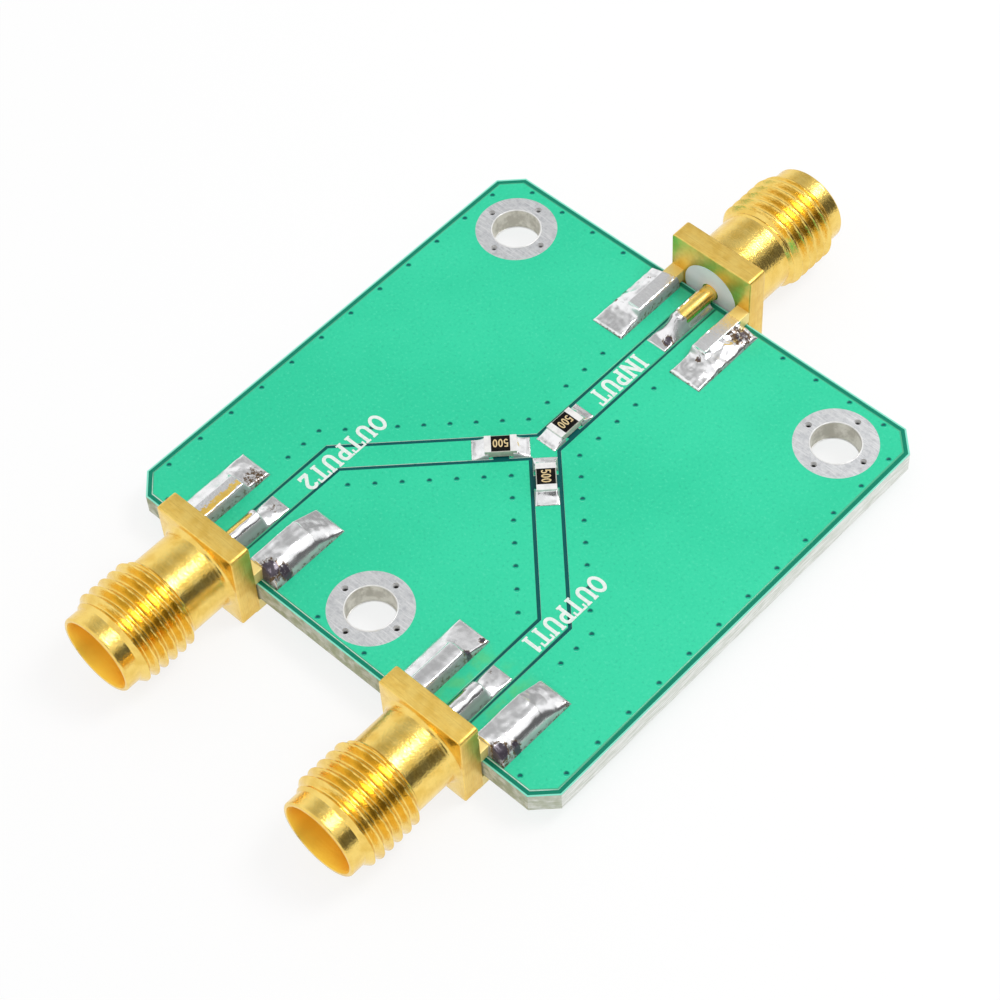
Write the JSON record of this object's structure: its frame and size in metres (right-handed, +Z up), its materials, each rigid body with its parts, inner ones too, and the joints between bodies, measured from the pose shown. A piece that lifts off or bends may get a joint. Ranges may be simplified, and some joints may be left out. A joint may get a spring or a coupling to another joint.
{
  "type": "rf power splitter",
  "caption": "Resistive power splitter on a small green circuit board: coaxial edge jacks for input and outputs, chip resistors in a star and plated mounting holes.",
  "frame": {"origin": "under the middle of the part, on the surface that the undersides of the jack flanges rest on", "axes": "+Z up out of the component side, +Y along the jack axes towards the input jack, +X towards output 1"},
  "size_m": [0.034, 0.0538, 0.0063],
  "materials": {
    "laminate": "glass-epoxy laminate, pale sawn edges",
    "green_mask": "glossy emerald solder mask over copper",
    "hole_plating": "mottled matte tin",
    "gold": "bright gold plate over turned brass",
    "contact_gold": "bright gold plate",
    "insulator": "waxy white",
    "solder": "bright wrinkled solder",
    "ceramic": "matte alumina",
    "cap_metal": "bright tin",
    "black_coating": "black glass-like coat"
  },
  "bodies": {
    "root": {"board_laminate": "laminate", "ground_pour_left": "green_mask", "ground_pour_right": "green_mask", "ground_pour_lower": "green_mask", "bottom_ground_plane": "green_mask", "input_trace": "green_mask", "output_1_trace": "green_mask", "output_2_trace": "green_mask", "star_junction": "green_mask", "hole_plating_left": "hole_plating", "hole_plating_right": "hole_plating", "hole_plating_lower": "hole_plating", "input_jack_body": "gold", "input_jack_insulator": "insulator", "input_jack_contact": "contact_gold", "output_1_jack_body": "gold", "output_1_jack_insulator": "insulator", "output_1_jack_contact": "contact_gold", "output_2_jack_body": "gold", "output_2_jack_insulator": "insulator", "output_2_jack_contact": "contact_gold", "input_ground_solder": "solder", "input_pin_solder": "solder", "output_1_ground_solder": "solder", "output_1_pin_solder": "solder", "output_2_ground_solder": "solder", "output_2_pin_solder": "solder", "input_resistor_substrate": "ceramic", "input_resistor_caps": "cap_metal", "input_resistor_coating": "black_coating", "input_resistor_solder": "solder", "output_1_resistor_substrate": "ceramic", "output_1_resistor_caps": "cap_metal", "output_1_resistor_coating": "black_coating", "output_1_resistor_solder": "solder", "output_2_resistor_substrate": "ceramic", "output_2_resistor_caps": "cap_metal", "output_2_resistor_coating": "black_coating", "output_2_resistor_solder": "solder"}
  },
  "joints": []
}
